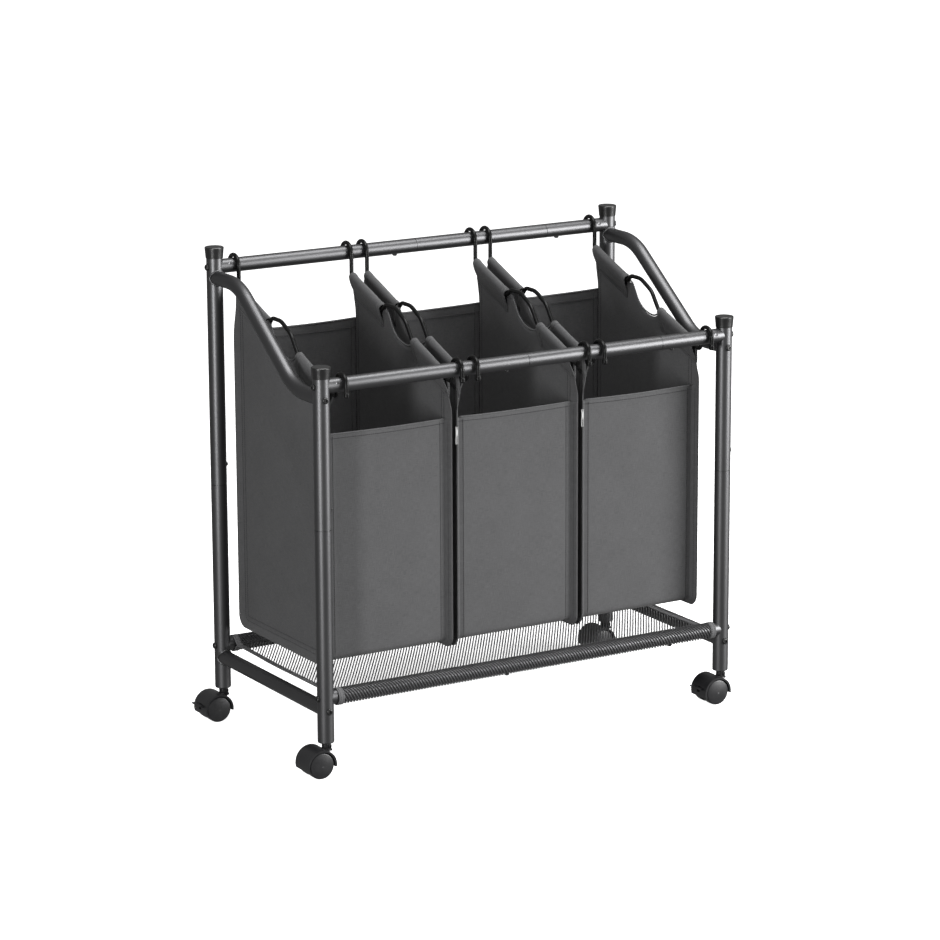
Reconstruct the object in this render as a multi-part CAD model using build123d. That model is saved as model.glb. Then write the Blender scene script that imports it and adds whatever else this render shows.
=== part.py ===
from build123d import *
import math
import os

# A laundry sorter: a tube frame on four twin-wheel castors, with three lift-off bags hung on
# wires between a high back rail and a lower front rail, and a mesh shelf under them.
# Millimetres. +X runs along the rails to the right, +Y to the back, +Z up.
# The origin is on the floor, in the middle of the four posts.

# Frame
post_spacing_x = 710.0
post_spacing_y = 332.0
post_diameter = 25.0
rail_diameter = 22.0
tube_wall = 1.2
post_bottom = 52.0
post_joint_height = 375.5
post_spigot_length = 45.0
back_post_top = 742.8
front_post_top = 616.5
back_rail_height = 714.9
front_rail_height = 590.0
shelf_rail_height = 118.7
upper_side_back_height = 699.0
upper_side_front_height = 571.5
lower_side_height = 100.4
side_bend_radius = 90.0
side_slope_run = 176.0
# The rails come in three lengths, and the short middle one plugs into the other two.
rail_joint_left = -5.0
rail_joint_right = 234.0
rail_spigot_left = 52.0
rail_spigot_right = 40.0
rail_screw_left = -40.0
rail_screw_right = 258.0
post_screw_height = 406.0
swage_length = 3.0
slip_fit = 0.1
joint_gap = 0.7

# Post caps
cap_top_radius = 14.65
cap_skirt_radius = 13.3
cap_height = 17.0
cap_roof = 3.0

# Fasteners
bolt_radius = 2.9
bolt_head_radius = 5.0
bolt_head_height = 3.0
bolt_socket_radius = 2.3
nut_length = 14.0
small_screw_radius = 1.9
small_head_radius = 3.7
small_head_height = 2.4

# Mesh shelf
shelf_half_length = 330.0
shelf_tape_width = 10.0
shelf_panel_thickness = 1.2
shelf_sleeve_thickness = 0.9

# Bags, measured from each bag's own middle in X
bag_pitch = 223.5
bag_half_width = 98.5
bag_front = -125.0
bag_back = 144.0
bag_bottom = 159.0
bag_front_top = 507.0
bag_back_top = 616.0
bag_cloth = 2.0
bag_corner_radius = 10.0
flange_front = -135.0
flange_back = 153.0
flange_bottom = 150.0
flange_lean = 8.2
side_cloth = 2.2

# Hanger wires, in the plane of each side panel
wire_plane = 98.0
wire_radius = 3.25
wire_rise_at_centre = 623.0
wire_slope = 0.376
wire_bend_radius = 6.0
hook_gap = 0.4
hook_tip_radius = 4.3
hook_tip_clearance = 0.35
hook_tip_length = 8.0
hook_drop = {"front": 18.0, "back": 14.0}
sleeve_radius = 7.0
sleeve_bore = 3.6
sleeve_back_end = 146.0
sleeve_front_end = -131.0
handle_back = 58.0
handle_front = -38.0
handle_crest = 652.5
handle_crest_back = 45.0
handle_crest_front = 17.0
handle_fall = 637.5
handle_fall_front = -14.0
handle_bend_back = 53.5
handle_bend_front = -34.5
cutout_centre = 5.0
cutout_half_length = 43.0
cutout_depth = 22.5

# Castors, measured from the swivel axis, trailing towards -X
wheel_radius = 20.5
wheel_inner_face = 6.3
wheel_outer_face = 19.2
wheel_dome = 1.8
axle_trail = 17.0
axle_radius = 2.5
axle_half_length = 16.0
running_fit = 0.05
hood_radius = 24.3
hood_inner_radius = 21.3
hood_half_width = 20.5
hood_web_half_width = 5.6
hood_front_angle = -8.0
hood_rear_angle = 198.0
boss_radius = 6.5
boss_top = 48.6
swivel_pin_radius = 3.5
swivel_pin_bottom = 34.0
stem_radius = 4.0
stem_top = 82.0
socket_length = 34.0
lever_pivot_radius = 14.5
lever_angle = 165.0
lever_tip_radius = 33.0
lever_half_width = 13.0

half_x = post_spacing_x / 2
half_y = post_spacing_y / 2
post_radius = post_diameter / 2
rail_radius = rail_diameter / 2
wire_angle = math.degrees(math.atan(wire_slope))
sides = {"left": -1, "right": 1}
ends = {"front": -1, "back": 1}
bag_centres = {"left": -bag_pitch, "middle": 0.0, "right": bag_pitch}


def rod(start, end, radius):
    """A solid round bar between two points."""
    line = Vector(*end) - Vector(*start)
    return Solid.make_cylinder(radius, line.length, Plane(origin=start, z_dir=line))


def box_between(low, high):
    """A block from its lowest corner to its highest."""
    size = [b - a for a, b in zip(low, high)]
    middle = [(a + b) / 2 for a, b in zip(low, high)]
    return Pos(*middle) * Box(*size)


def tube(start, end, radius, wall=tube_wall):
    """A round tube between two points."""
    line = (Vector(*end) - Vector(*start)).normalized()
    over_start = Vector(*start) - line
    over_end = Vector(*end) + line
    return rod(start, end, radius) - rod(over_start, over_end, radius - wall)


def plug_end(shoulder, tip, radius):
    """A tube's narrowed end, from its shoulder to its tip, made to slide into the next tube."""
    line = (Vector(*tip) - Vector(*shoulder)).normalized()
    narrow_radius = radius - tube_wall - slip_fit
    neck = tube(Vector(*shoulder) - line * swage_length, shoulder, radius, 2 * tube_wall + slip_fit)
    return neck + tube(shoulder, tip, narrow_radius)


def save(name, *solids):
    """Writes one node, of one or more separate solids."""
    shapes = [piece for solid in solids for piece in solid.solids()]
    part = shapes[0] if len(shapes) == 1 else Compound(children=shapes)
    part.label = name
    export_step(part, f"parts/{name}.step")


def wire_height(y):
    """Height of the straight stretch of a hanger wire."""
    return wire_rise_at_centre + wire_slope * y


def post_top(end):
    return back_post_top if end == "back" else front_post_top


def rail_height(end):
    return back_rail_height if end == "back" else front_rail_height


def post_coping(x, y):
    """The space that a post takes from a tube that butts against it."""
    return rod((x, y, 0), (x, y, back_post_top), post_radius + 0.05)


# ---- Posts: a lower tube with a narrowed top that slides into the upper tube ----

def bolt_holes(x, y, end):
    """Cross holes for the bolts that hold the rails and, in front, the side tubes."""
    holes = []
    for height in (rail_height(end), shelf_rail_height):
        holes.append(rod((x - 20, y, height), (x + 20, y, height), bolt_radius + 0.2))
    if end == "front":
        for height in (upper_side_front_height, lower_side_height):
            holes.append(rod((x, y - 20, height), (x, y + 20, height), bolt_radius + 0.2))
    holes.append(rod((x, y, post_screw_height), (x + 20, y, post_screw_height), small_screw_radius + 0.1))
    return holes


def make_posts():
    for end, sign_y in ends.items():
        for side, sign_x in sides.items():
            x = sign_x * half_x
            y = sign_y * half_y
            spigot_top = post_joint_height + post_spigot_length
            lower = tube((x, y, post_bottom), (x, y, post_joint_height), post_radius)
            lower += plug_end((x, y, post_joint_height), (x, y, spigot_top), post_radius)
            upper = tube((x, y, post_joint_height + joint_gap), (x, y, post_top(end)), post_radius)
            for hole in bolt_holes(x, y, end):
                lower -= hole
                upper -= hole
            save(f"{end}_{side}_lower_post", lower)
            save(f"{end}_{side}_upper_post", upper)


def make_post_caps():
    caps = []
    for end, sign_y in ends.items():
        for sign_x in sides.values():
            top = post_top(end) + cap_roof
            with BuildPart() as cap:
                with BuildSketch(Plane.XZ):
                    with BuildLine():
                        Polyline(
                            (0, top - cap_roof),
                            (post_radius + slip_fit, top - cap_roof),
                            (post_radius + slip_fit, top - cap_height),
                            (cap_skirt_radius, top - cap_height),
                            (cap_top_radius, top - 2.0),
                            (cap_top_radius, top - 0.8),
                            (cap_top_radius - 0.8, top),
                            (0, top),
                            (0, top - cap_roof),
                        )
                    make_face()
                revolve(axis=Axis.Z)
            caps.append(Pos(sign_x * half_x, sign_y * half_y, 0) * cap.part)
    save("post_caps", *caps)


# ---- Rails: left, middle and right lengths, coped to the posts and bolted through them ----

def rail_dimples(y, z):
    """Dents that lock the nut inside each outer rail end, pressed in above and below."""
    dents = []
    for sign in sides.values():
        x = sign * (half_x - post_radius - 9)
        for turn in (20, 160, 250):
            across = math.radians(turn)
            reach = rail_radius + 5.3
            place = (x, y + reach * math.cos(across), z + reach * math.sin(across))
            dents.append(Pos(*place) * Sphere(6.0))
    return dents


def make_rail(y, z):
    """The three lengths of one rail."""
    lengths = [
        tube((-half_x, y, z), (rail_joint_left - joint_gap, y, z), rail_radius),
        tube((rail_joint_left, y, z), (rail_joint_right, y, z), rail_radius),
        tube((rail_joint_right + joint_gap, y, z), (half_x, y, z), rail_radius),
    ]
    spigot_start = rail_joint_left - rail_spigot_left
    spigot_end = rail_joint_right + rail_spigot_right
    lengths[1] += plug_end((rail_joint_left, y, z), (spigot_start, y, z), rail_radius)
    lengths[1] += plug_end((rail_joint_right, y, z), (spigot_end, y, z), rail_radius)
    for x in (rail_screw_left, rail_screw_right):
        hole = rod((x, y, z - 20), (x, y, z), small_screw_radius + 0.1)
        lengths = [length - hole for length in lengths]
    dents = rail_dimples(y, z)
    for index, sign in ((0, -1), (2, 1)):
        lengths[index] -= post_coping(sign * half_x, y)
        # What the coping leaves inside the post goes too.
        inside = sorted(lengths[index].solids(), key=lambda solid: solid.volume)
        lengths[index] = inside[-1]
        for dent in dents:
            lengths[index] -= dent
    return lengths


def make_rails():
    for end, sign_y in ends.items():
        y = sign_y * half_y
        names = ("left", "middle", "right")
        for name, length in zip(names, make_rail(y, rail_height(end))):
            save(f"{end}_rail_{name}", length)
        save(f"{end}_shelf_rail", *make_rail(y, shelf_rail_height))


# ---- Side tubes: welded to the back posts, bolted through the front posts ----

def make_side_tubes():
    run = side_slope_run / 2
    for side, sign_x in sides.items():
        x = sign_x * half_x
        plane = Plane(origin=(x, 0, 0), x_dir=(0, 1, 0), z_dir=(1, 0, 0))
        path = FilletPolyline(
            (half_y, upper_side_back_height),
            (run, upper_side_back_height),
            (-run, upper_side_front_height),
            (-half_y, upper_side_front_height),
            radius=side_bend_radius,
        )
        path = plane * path
        mouth = Plane(origin=(x, half_y, upper_side_back_height), z_dir=(0, -1, 0))
        skin = sweep(mouth * Circle(rail_radius), path=path)
        bore = sweep(mouth * Circle(rail_radius - tube_wall), path=path)
        upper = skin - bore
        lower = tube((x, -half_y, lower_side_height), (x, half_y, lower_side_height), rail_radius)
        for name, side_tube in (("upper", upper), ("lower", lower)):
            for sign_y in ends.values():
                side_tube -= post_coping(x, sign_y * half_y)
            largest = sorted(side_tube.solids(), key=lambda solid: solid.volume)[-1]
            save(f"{side}_{name}_side_tube", largest)


# ---- Nuts, bolts and screws ----

def tube_nut(mouth, direction):
    """A round steel nut held inside a tube end, with its face a little way in."""
    start = Vector(*mouth)
    along = Vector(*direction)
    barrel = rod(start, start + along * nut_length, rail_radius - tube_wall - 0.05)
    return barrel - rod(start - along, start + along * (nut_length + 1), bolt_radius + 0.05)


def dome_bolt(head_radius, head_height, flat_radius, shank_radius, shank_length):
    """A dome-headed fastener pointing down, with the underside of its head at height 0."""
    with BuildPart() as bolt:
        with BuildSketch(Plane.XZ):
            with BuildLine():
                side = Polyline(
                    (0, -shank_length),
                    (shank_radius, -shank_length),
                    (shank_radius, 0),
                    (head_radius, 0),
                    (head_radius, head_height * 0.3),
                )
                dome = TangentArc(side @ 1, (flat_radius, head_height), tangent=(0, 1))
                Polyline(dome @ 1, (0, head_height), (0, -shank_length))
            make_face()
        revolve(axis=Axis.Z)
    return bolt.part


def frame_bolt(seat, direction):
    """A dome-headed socket bolt through a post into a tube nut."""
    shank_length = post_diameter + 5 + nut_length
    bolt = dome_bolt(bolt_head_radius, bolt_head_height, 3.0, bolt_radius, shank_length)
    socket = Pos(0, 0, bolt_head_height - 1.6) * extrude(RegularPolygon(bolt_socket_radius, 6), 3)
    return Plane(origin=seat, z_dir=Vector(*direction) * -1) * (bolt - socket)


def bolted_ends():
    """Each bolted tube end: the post's axis, the bolt's height and its direction inwards."""
    found = []
    for end, sign_y in ends.items():
        for sign_x in sides.values():
            axis = (sign_x * half_x, sign_y * half_y)
            for height in (rail_height(end), shelf_rail_height):
                found.append((axis, height, (-sign_x, 0, 0)))
            if end == "front":
                for height in (upper_side_front_height, lower_side_height):
                    found.append((axis, height, (0, 1, 0)))
    return found


def make_bolts_and_nuts():
    bolts = []
    nuts = []
    for axis, height, direction in bolted_ends():
        centre = Vector(axis[0], axis[1], height)
        along = Vector(*direction)
        seat = centre - along * post_radius
        mouth = centre + along * (post_radius + 4)
        bolts.append(frame_bolt(seat, direction))
        nuts.append(tube_nut(tuple(mouth), direction))
    save("frame_bolts", *bolts)
    save("tube_nuts", *nuts)


def joint_screw(seat, direction, cover=0.0):
    """A small button-head screw through two nested tubes, lifted by any cloth under its head."""
    screw = dome_bolt(small_head_radius, small_head_height, 1.2, small_screw_radius, cover + 4.5)
    under_head = Vector(*seat) - Vector(*direction) * cover
    return Plane(origin=under_head, z_dir=Vector(*direction) * -1) * screw


def make_joint_screws():
    screws = []
    for end, sign_y in ends.items():
        y = sign_y * half_y
        for sign_x in sides.values():
            seat = (sign_x * half_x + post_radius + 0.1, y, post_screw_height)
            screws.append(joint_screw(seat, (-1, 0, 0)))
        for x in (rail_screw_left, rail_screw_right):
            top_seat = (x, y, rail_height(end) - rail_radius - 0.1)
            shelf_seat = (x, y, shelf_rail_height - rail_radius - 0.1)
            screws.append(joint_screw(top_seat, (0, 0, 1)))
            screws.append(joint_screw(shelf_seat, (0, 0, 1), shelf_sleeve_thickness + 0.2))
    save("joint_screws", *screws)


# ---- Mesh shelf: one cloth with a sleeve round each lower rail, and taped ends ----

def shelf_section(low_x, high_x, sleeve, panel):
    """A length of the shelf: two sleeves and the panel stretched between them."""
    inner = rail_radius + 0.05
    outer = inner + sleeve
    z = shelf_rail_height
    half = panel / 2
    reach = half_y - inner
    section = box_between((low_x, -reach, z - half), (high_x, reach, z + half))
    for sign_y in ends.values():
        y = sign_y * half_y
        section += rod((low_x, y, z), (high_x, y, z), outer)
        section -= rod((low_x - 1, y, z), (high_x + 1, y, z), inner)
    return section


def make_shelf():
    mesh = shelf_section(-shelf_half_length, shelf_half_length, shelf_sleeve_thickness, shelf_panel_thickness)
    for sign_y in ends.values():
        for x in (rail_screw_left, rail_screw_right):
            mesh -= rod((x, sign_y * half_y, 90), (x, sign_y * half_y, shelf_rail_height), small_screw_radius + 0.1)
    save("shelf_mesh", mesh)
    tapes = []
    for sign in sides.values():
        near = sign * shelf_half_length
        far = sign * (shelf_half_length + shelf_tape_width)
        tapes.append(shelf_section(min(near, far), max(near, far), 1.4, 2.2))
    save("shelf_edge_tapes", *tapes)


# ---- Bags ----

def bag_strip(centre):
    """The front, bottom and back of a bag, one folded cloth between its side panels."""
    plane = Plane.YZ.offset(centre - bag_half_width)
    top = bag_back_top
    outer = FilletPolyline(
        (bag_front, bag_front_top),
        (bag_front, bag_bottom),
        (bag_back, bag_bottom),
        (bag_back, top),
        radius=bag_corner_radius,
    )
    inner = FilletPolyline(
        (bag_back - bag_cloth, top),
        (bag_back - bag_cloth, bag_bottom + bag_cloth),
        (bag_front + bag_cloth, bag_bottom + bag_cloth),
        (bag_front + bag_cloth, bag_front_top),
        radius=bag_corner_radius - bag_cloth,
    )
    rims = Polyline((bag_back, top), (bag_back - bag_cloth, top))
    rims += Polyline((bag_front + bag_cloth, bag_front_top), (bag_front, bag_front_top))
    outline = make_face(outer + inner + rims)
    return extrude(plane * outline, 2 * bag_half_width)


def side_pan(centre, sign):
    """A side panel whose edges turn outwards as a flange, like a shallow pan."""
    top = back_rail_height + 40
    sections = []
    for depth, front, back, bottom, corner in (
        (0.0, bag_front, bag_back, bag_bottom, bag_corner_radius),
        (flange_lean, flange_front, flange_back, flange_bottom, 19.0),
    ):
        middle = (front + back) / 2
        width = back - front
        height = top - bottom
        plane = Plane(origin=(sign * (bag_half_width + depth), 0, 0), x_dir=(0, 1, 0), z_dir=(1, 0, 0))
        outline = Pos(middle, bottom + height / 2) * RectangleRounded(width, height, corner)
        sections.append(plane * outline)
    pan = loft(sections)
    pan -= Pos(sign * side_cloth, 0, 0) * pan
    return Pos(centre, 0, 0) * pan


def sloped(x, y):
    """A frame on the wire's straight line at y: its X axis up the slope towards the back."""
    return Plane(origin=(x, y, wire_height(y)), x_dir=(0, 1, wire_slope), z_dir=(1, 0, 0))


def side_panel(centre, sign):
    """A side panel with the two-part wire sleeve along its sloping top and a hand hole."""
    x = centre + sign * wire_plane
    pan = side_pan(centre, sign)
    # Everything above the wire's line goes, and the ends round off towards the sleeve.
    above = sloped(x, 0) * Pos(0, 200) * Rectangle(600, 400)
    pan -= extrude(above, 20, both=True)
    along = Vector(0, 1, wire_slope).normalized()
    cosine = math.cos(math.radians(wire_angle))
    for back, front in ((sleeve_back_end, handle_back), (handle_front, sleeve_front_end)):
        start = Vector(x, front, wire_height(front))
        pan += rod(start, start + along * ((back - front) / cosine), sleeve_radius)
    bore_start = Vector(x, flange_front - 30, wire_height(flange_front - 30))
    pan -= rod(bore_start, bore_start + along * 400, sleeve_bore)
    hand_hole = sloped(x, cutout_centre) * Ellipse(cutout_half_length, cutout_depth)
    pan -= extrude(hand_hole, 20, both=True)
    return sorted(pan.solids(), key=lambda solid: solid.volume)[-1]


def hanger_wire(x):
    """A wire hooked over both rails, straight in its sleeves and arched at the handle."""
    # The tail stands out so that its thicker tip clears the rail all the way up.
    inner = rail_radius + wire_radius + hook_gap
    outer = rail_radius + hook_tip_radius + hook_tip_clearance
    hook_centre = half_y + (outer - inner) / 2
    hook_radius = (outer + inner) / 2
    back_out = half_y + outer
    back_in = half_y - inner
    front_in = -half_y + inner
    front_out = -half_y - outer
    plane = Plane(origin=(x, 0, 0), x_dir=(0, 1, 0), z_dir=(1, 0, 0))
    hang = FilletPolyline(
        (back_in, back_rail_height),
        (back_in, wire_height(back_in)),
        (handle_bend_back, wire_height(handle_bend_back)),
        (handle_crest_back, handle_crest),
        (handle_crest_front, handle_crest),
        (handle_fall_front, handle_fall),
        (handle_bend_front, wire_height(handle_bend_front)),
        (front_in, wire_height(front_in)),
        (front_in, front_rail_height),
        radius=[wire_bend_radius, 8, 12, 36, 30, 10, wire_bend_radius],
    )
    back_hook = CenterArc((hook_centre, back_rail_height), hook_radius, 0, 180)
    front_hook = CenterArc((-hook_centre, front_rail_height), hook_radius, 0, 180)
    back_end = back_rail_height - hook_drop["back"] + hook_tip_length / 2
    front_end = front_rail_height - hook_drop["front"] + hook_tip_length / 2
    back_tail = Line((back_out, back_end), (back_out, back_rail_height))
    front_tail = Line((front_out, front_rail_height), (front_out, front_end))
    route = Wire((back_tail + back_hook + hang + front_hook + front_tail).edges())
    start = Plane(origin=(x, back_out, back_end), z_dir=(0, 0, 1))
    wire = sweep(start * Circle(wire_radius), path=plane * route)
    lows = (back_rail_height - hook_drop["back"], front_rail_height - hook_drop["front"])
    for y, low in zip((back_out, front_out), lows):
        tip = rod((x, y, low), (x, y, low + hook_tip_length), hook_tip_radius)
        wire += fillet(tip.edges().filter_by(GeomType.CIRCLE), 2.0)
    return wire


def make_bags():
    for name, centre in bag_centres.items():
        save(f"{name}_bag_body", bag_strip(centre))
        for side, sign in sides.items():
            save(f"{name}_bag_{side}_panel", side_panel(centre, sign))
        wires = [hanger_wire(centre + sign * wire_plane) for sign in sides.values()]
        save(f"{name}_bag_wires", *wires)


# ---- Castors ----

def castor_places():
    return {
        f"{end}_{side}": (sign_x * half_x, sign_y * half_y)
        for end, sign_y in ends.items()
        for side, sign_x in sides.items()
    }


def castor_socket():
    """The plastic plug in a post's foot that takes the castor's stem."""
    inner = post_radius - tube_wall - 0.05
    with BuildPart() as socket:
        with BuildSketch(Plane.XZ):
            with BuildLine():
                Polyline(
                    (stem_radius + 0.05, post_bottom - 2.6),
                    (8.0, post_bottom - 2.6),
                    (post_radius - 0.6, post_bottom - 1.2),
                    (post_radius - 0.6, post_bottom - 0.05),
                    (inner, post_bottom - 0.05),
                    (inner, post_bottom + socket_length),
                    (stem_radius + 0.05, post_bottom + socket_length),
                    (stem_radius + 0.05, post_bottom - 2.6),
                )
            make_face()
        revolve(axis=Axis.Z)
    return socket.part


def castor_stem():
    """The swivel pin below, a collar at the hood and the stem up into the socket."""
    collar_low = boss_top + 0.2
    stem = rod((0, 0, swivel_pin_bottom), (0, 0, collar_low), swivel_pin_radius)
    stem += rod((0, 0, collar_low), (0, 0, stem_top), stem_radius)
    return stem


def disc_sector(radius):
    """The part of a flat disc about the axle that lies inside the hood's opening angles."""
    far = 2 * radius
    points = [(0, 0)]
    count = 8
    for index in range(count + 1):
        angle = math.radians(hood_front_angle + (hood_rear_angle - hood_front_angle) * index / count)
        points.append((far * math.cos(angle), far * math.sin(angle)))
    return Circle(radius) & make_face(Polyline(*points, close=True))


def castor_hood():
    """A fender over both wheels, the web between them and the boss that turns on the stem."""
    side_on = Plane(origin=(-axle_trail, 0, wheel_radius), x_dir=(1, 0, 0), z_dir=(0, -1, 0))
    fender = disc_sector(hood_radius) - Circle(hood_inner_radius)
    hood = extrude(side_on * fender, hood_half_width, both=True)
    web = disc_sector(hood_inner_radius + 0.5) + Circle(6.0)
    hood += extrude(side_on * web, hood_web_half_width, both=True)
    boss = rod((0, 0, 36), (0, 0, boss_top), boss_radius)
    boss -= rod((-axle_trail, -30, wheel_radius), (-axle_trail, 30, wheel_radius), hood_inner_radius + 0.6)
    hood += boss
    hood -= rod((0, 0, swivel_pin_bottom - 0.6), (0, 0, boss_top + 5), swivel_pin_radius + running_fit)
    hood -= rod((-axle_trail, -30, wheel_radius), (-axle_trail, 30, wheel_radius), axle_radius + running_fit)
    return hood


def castor_axle():
    middle = (-axle_trail, wheel_radius)
    return rod((middle[0], -axle_half_length, middle[1]), (middle[0], axle_half_length, middle[1]), axle_radius)


def castor_wheel(sign):
    """One wheel: a rounded tread, a domed outer face and a blind bore for the axle."""
    bore = axle_radius + running_fit
    rim_radius = wheel_radius - 2.4
    sphere_radius = (rim_radius ** 2 + wheel_dome ** 2) / (2 * wheel_dome)
    dome_centre = wheel_outer_face + wheel_dome - sphere_radius
    half_way = dome_centre + math.sqrt(sphere_radius ** 2 - (rim_radius / 2) ** 2)
    with BuildPart() as wheel:
        with BuildSketch(Plane.XY):
            with BuildLine():
                rim = Polyline(
                    (bore, wheel_inner_face),
                    (wheel_radius - 1.0, wheel_inner_face),
                    (wheel_radius, wheel_inner_face + 1.0),
                    (wheel_radius, wheel_outer_face - 4.0),
                )
                shoulder = Spline(
                    rim @ 1, (rim_radius, wheel_outer_face), tangents=((0, 1), (-1, 0.2))
                )
                dome = ThreePointArc(
                    shoulder @ 1,
                    (rim_radius / 2, half_way),
                    (0, wheel_outer_face + wheel_dome),
                )
                Polyline(
                    dome @ 1,
                    (0, axle_half_length + 0.4),
                    (bore, axle_half_length + 0.4),
                    (bore, wheel_inner_face),
                )
            make_face()
        revolve(axis=Axis.Y)
    placed = wheel.part if sign > 0 else mirror(wheel.part, about=Plane.XZ)
    return Pos(-axle_trail, 0, wheel_radius) * placed


def lever_point(radius, height=0.0):
    """A point on the lever's own radius from the axle, in X and Z, and height above it."""
    angle = math.radians(lever_angle)
    x = -axle_trail + radius * math.cos(angle) + height * math.sin(angle)
    z = wheel_radius + radius * math.sin(angle) - height * math.cos(angle)
    return x, z


def brake_lever():
    """A thumb tab behind the hood on an arm that pivots in the web."""
    outline = [
        lever_point(lever_pivot_radius - 3.0, -1.4),
        lever_point(lever_tip_radius, -0.9),
        lever_point(lever_tip_radius, 0.6),
        lever_point(lever_pivot_radius - 3.0, 1.4),
    ]
    arm = extrude(Plane.XZ * make_face(Polyline(*outline, close=True)), 3.6, both=True)
    pad_outline = [
        lever_point(hood_radius + 0.9, -1.2),
        lever_point(lever_tip_radius, -0.9),
        lever_point(lever_tip_radius, 0.8),
        lever_point(hood_radius + 2.6, 1.9),
        lever_point(hood_radius + 0.9, 1.7),
    ]
    arm += extrude(Plane.XZ * make_face(Polyline(*pad_outline, close=True)), lever_half_width, both=True)
    x, z = lever_point(lever_pivot_radius)
    hub = rod((x, -3.6, z), (x, 3.6, z), 2.6)
    return arm + hub


def lever_slot():
    """The notch in the hood's web and fender that the lever's arm swings down in."""
    points = [
        lever_point(lever_pivot_radius - 4.0, 3.4),
        lever_point(hood_radius + 3.0, 2.6),
        lever_point(hood_radius + 3.0, -7.0),
        lever_point(lever_pivot_radius - 4.0, -4.6),
    ]
    return extrude(Plane.XZ * make_face(Polyline(*points, close=True)), 3.9, both=True)


def make_castors():
    sockets = []
    stems = []
    for place, (x, y) in castor_places().items():
        at = Pos(x, y, 0)
        sockets.append(at * castor_socket())
        stems.append(at * castor_stem())
        hood = castor_hood()
        if place in ("front_right", "back_left"):
            hood -= lever_slot()
            save(f"{place}_brake_lever", at * brake_lever())
        save(f"{place}_castor_hood", at * hood)
        save(f"{place}_castor_axle", at * castor_axle())
        save(f"{place}_front_wheel", at * castor_wheel(-1))
        save(f"{place}_back_wheel", at * castor_wheel(1))
    save("castor_sockets", *sockets)
    save("castor_stems", *stems)


os.makedirs("parts", exist_ok=True)
make_posts()
make_post_caps()
make_rails()
make_side_tubes()
make_bolts_and_nuts()
make_joint_screws()
make_shelf()
make_bags()
make_castors()
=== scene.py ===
import math
import bpy
from mathutils import Matrix, Vector, noise


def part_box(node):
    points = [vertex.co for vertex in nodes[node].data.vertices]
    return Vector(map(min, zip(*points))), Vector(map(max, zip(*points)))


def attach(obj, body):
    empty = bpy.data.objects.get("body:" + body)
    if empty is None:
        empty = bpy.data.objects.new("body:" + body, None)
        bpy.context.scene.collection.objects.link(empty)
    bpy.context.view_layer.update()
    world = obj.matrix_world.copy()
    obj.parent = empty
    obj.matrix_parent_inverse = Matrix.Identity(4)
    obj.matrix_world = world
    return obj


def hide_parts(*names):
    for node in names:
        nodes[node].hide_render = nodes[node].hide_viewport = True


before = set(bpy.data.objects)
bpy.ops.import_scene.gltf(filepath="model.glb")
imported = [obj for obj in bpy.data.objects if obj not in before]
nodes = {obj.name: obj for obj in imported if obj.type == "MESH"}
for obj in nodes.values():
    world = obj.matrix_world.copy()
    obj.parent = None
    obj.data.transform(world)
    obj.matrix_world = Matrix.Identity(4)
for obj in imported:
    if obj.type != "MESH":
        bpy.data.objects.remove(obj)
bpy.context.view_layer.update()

mm = 0.001


# shader maths

class Link:
    # a socket; its operators add Math nodes
    def __init__(self, tree, socket):
        self.tree = tree
        self.socket = socket

    def op(self, operation, first, second=None):
        made = self.tree.nodes.new("ShaderNodeMath")
        made.operation = operation
        for slot, value in zip(made.inputs, (first, second)):
            if isinstance(value, Link):
                self.tree.links.new(value.socket, slot)
            elif value is not None:
                slot.default_value = value
        return Link(self.tree, made.outputs[0])

    def __add__(self, other):
        return self.op("ADD", self, other)

    def __sub__(self, other):
        return self.op("SUBTRACT", self, other)

    def __rsub__(self, other):
        return self.op("SUBTRACT", other, self)

    def __mul__(self, other):
        return self.op("MULTIPLY", self, other)


    __radd__ = __add__
    __rmul__ = __mul__

    def sine(self):
        return self.op("SINE", self)


class Finish:
    # one material: its tree, its main shader and a way to add nodes
    def __init__(self, name):
        self.material = bpy.data.materials.new(name)
        self.material.use_nodes = True
        self.tree = self.material.node_tree
        self.shader = self.tree.nodes["Principled BSDF"]

    def add(self, kind, settings=None, values=None, output=0):
        made = self.tree.nodes.new(kind)
        for key, value in (settings or {}).items():
            if key == "stops":
                ramp = made.color_ramp
                while len(ramp.elements) < len(value):
                    ramp.elements.new(0.5)
                for element, (place, colour) in zip(ramp.elements, value):
                    element.position = place
                    element.color = (*colour, 1)
            else:
                setattr(made, key, value)
        for key, value in (values or {}).items():
            if isinstance(value, Link):
                self.tree.links.new(value.socket, made.inputs[key])
            else:
                made.inputs[key].default_value = value
        return Link(self.tree, made.outputs[output])

    def coords(self, kind="Object"):
        made = self.tree.nodes.new("ShaderNodeTexCoord")
        return Link(self.tree, made.outputs[kind])

    def parts(self, vector):
        made = self.tree.nodes.new("ShaderNodeSeparateXYZ")
        self.tree.links.new(vector.socket, made.inputs[0])
        return [Link(self.tree, slot) for slot in made.outputs]

    def speckle(self, vector, scale, detail=3, rough=0.55):
        return self.add("ShaderNodeTexNoise", {}, {
            "Vector": vector, "Scale": scale, "Detail": detail, "Roughness": rough})

    def blendColour(self, amount, first, second):
        colours = {0: amount, 6: (*first, 1), 7: (*second, 1)}
        return self.add("ShaderNodeMix", {"data_type": "RGBA"}, colours, 2)

    def bump(self, height, strength, distance, base=None):
        values = {"Height": height, "Strength": strength, "Distance": distance}
        if base is not None:
            values["Normal"] = base
        return self.add("ShaderNodeBump", {}, values)

    def wear(self, values):
        for key, value in values.items():
            if isinstance(value, Link):
                self.tree.links.new(value.socket, self.shader.inputs[key])
            else:
                self.shader.inputs[key].default_value = value
        return self.material


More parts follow.
